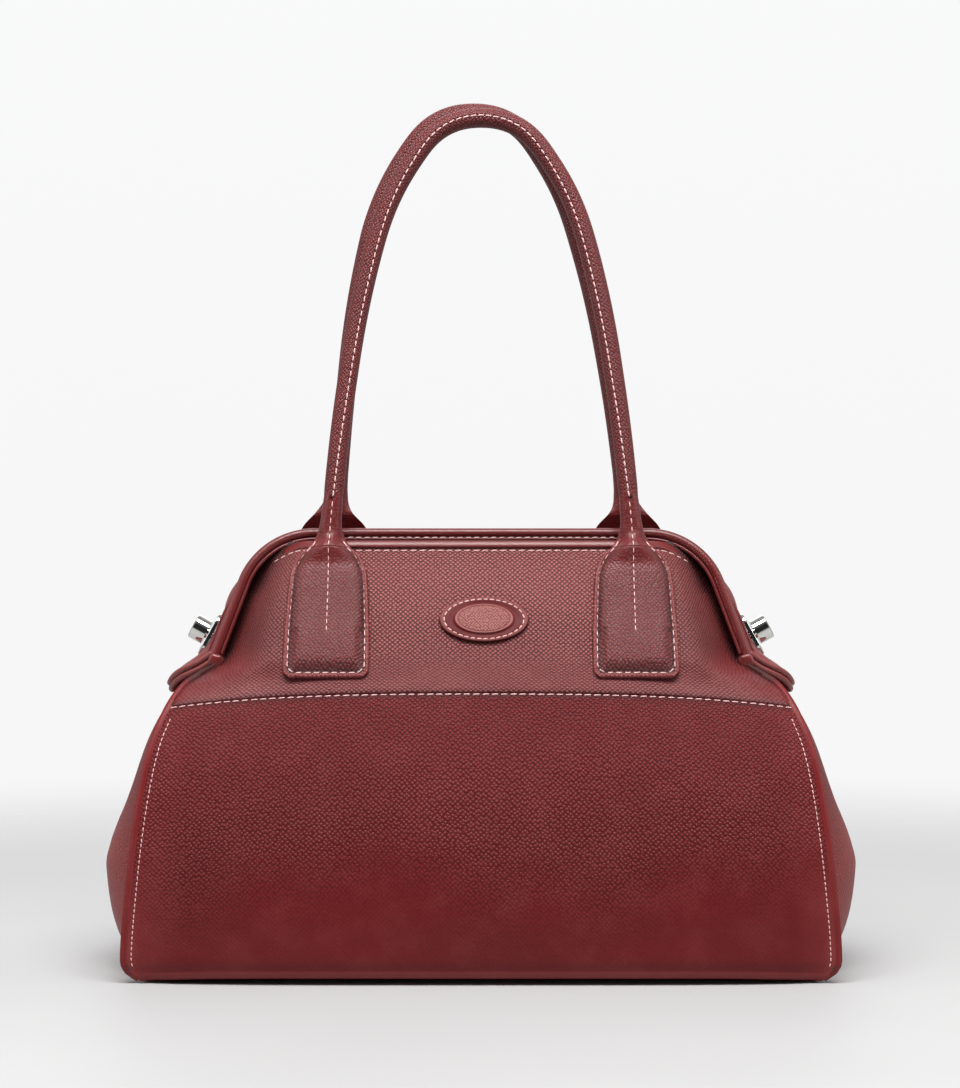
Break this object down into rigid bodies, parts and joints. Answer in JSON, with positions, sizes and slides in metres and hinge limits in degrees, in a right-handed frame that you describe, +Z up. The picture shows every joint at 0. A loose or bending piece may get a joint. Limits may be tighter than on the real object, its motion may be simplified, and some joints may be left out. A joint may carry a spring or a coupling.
{
  "type": "doctor bag",
  "caption": "Leather doctor bag with a hinged two-part frame that opens at the top, rolled folding handles, curved end gussets and turn knobs on the end wings.",
  "frame": {"origin": "on the ground under the middle of the bag", "axes": "+X to the right seen from the front, +Y towards the rear, +Z up"},
  "size_m": [0.38, 0.154, 0.4388],
  "materials": {
    "panel_leather": "pebbled, semi-matt",
    "trim_leather": "smooth, satin",
    "lining_fabric": "woven",
    "board": "matt",
    "foot_plastic": "matt",
    "core_rubber": "matt",
    "chrome": "polished",
    "steel": "satin"
  },
  "bodies": {
    "bag_body": {"body_wrap": "panel_leather", "lining": "lining_fabric", "base_board": "board", "base_feet": "foot_plastic", "foot_rivets": "steel", "left_gusset": "panel_leather", "left_end_wing": "trim_leather", "left_wing_hem": "trim_leather", "left_knob_plate": "chrome", "left_knob_nut": "steel", "left_hinge_bracket": "steel", "left_hinge_pin": "steel", "right_gusset": "panel_leather", "right_end_wing": "trim_leather", "right_wing_hem": "trim_leather", "right_knob_plate": "chrome", "right_knob_nut": "steel", "right_hinge_bracket": "steel", "right_hinge_pin": "steel"},
    "front_frame": {"front_frame_rod": "steel", "front_frame_roll": "trim_leather", "front_top_binding": "trim_leather", "front_yoke": "panel_leather", "front_left_handle_tab": "trim_leather", "front_right_handle_tab": "trim_leather", "front_left_hinge_link": "steel", "front_right_hinge_link": "steel", "badge_patch": "trim_leather", "badge_medallion": "trim_leather"},
    "rear_frame": {"rear_frame_rod": "steel", "rear_frame_roll": "trim_leather", "rear_top_binding": "trim_leather", "rear_yoke": "panel_leather", "rear_left_handle_tab": "trim_leather", "rear_right_handle_tab": "trim_leather", "rear_left_hinge_link": "steel", "rear_right_hinge_link": "steel"},
    "front_handle": {"front_handle_cover": "trim_leather", "front_handle_core": "core_rubber"},
    "rear_handle": {"rear_handle_cover": "trim_leather", "rear_handle_core": "core_rubber"},
    "left_knob": {"left_turn_knob": "chrome"},
    "right_knob": {"right_turn_knob": "chrome"}
  },
  "joints": [
    {"name": "front_frame_hinge", "type": "hinge", "parent": "bag_body", "child": "front_frame", "pos_m": [0, 0, 0.152], "axis": [1, 0, 0], "range_deg": [0, 35], "deforming": ["front_yoke", "badge_patch", "badge_medallion"]},
    {"name": "rear_frame_hinge", "type": "hinge", "parent": "bag_body", "child": "rear_frame", "pos_m": [0, 0, 0.152], "axis": [-1, 0, 0], "range_deg": [0, 35], "deforming": ["rear_yoke"]},
    {"name": "front_handle_fold", "type": "hinge", "parent": "front_frame", "child": "front_handle", "pos_m": [0, -0.0205, 0.222], "axis": [1, 0, 0], "range_deg": [0, 130], "deforming": ["front_left_handle_tab", "front_right_handle_tab"]},
    {"name": "rear_handle_fold", "type": "hinge", "parent": "rear_frame", "child": "rear_handle", "pos_m": [0, 0.0205, 0.2265], "axis": [-1, 0, 0], "range_deg": [0, 130], "deforming": ["rear_left_handle_tab", "rear_right_handle_tab"]},
    {"name": "right_knob_turn", "type": "hinge", "parent": "bag_body", "child": "right_knob", "pos_m": [0.1369, 0, 0.1664], "axis": [0.8746, 0, 0.4848], "range_deg": [0, 90]},
    {"name": "left_knob_turn", "type": "hinge", "parent": "bag_body", "child": "left_knob", "pos_m": [-0.1369, 0, 0.1664], "axis": [-0.8746, 0, 0.4848], "range_deg": [0, 90]}
  ]
}
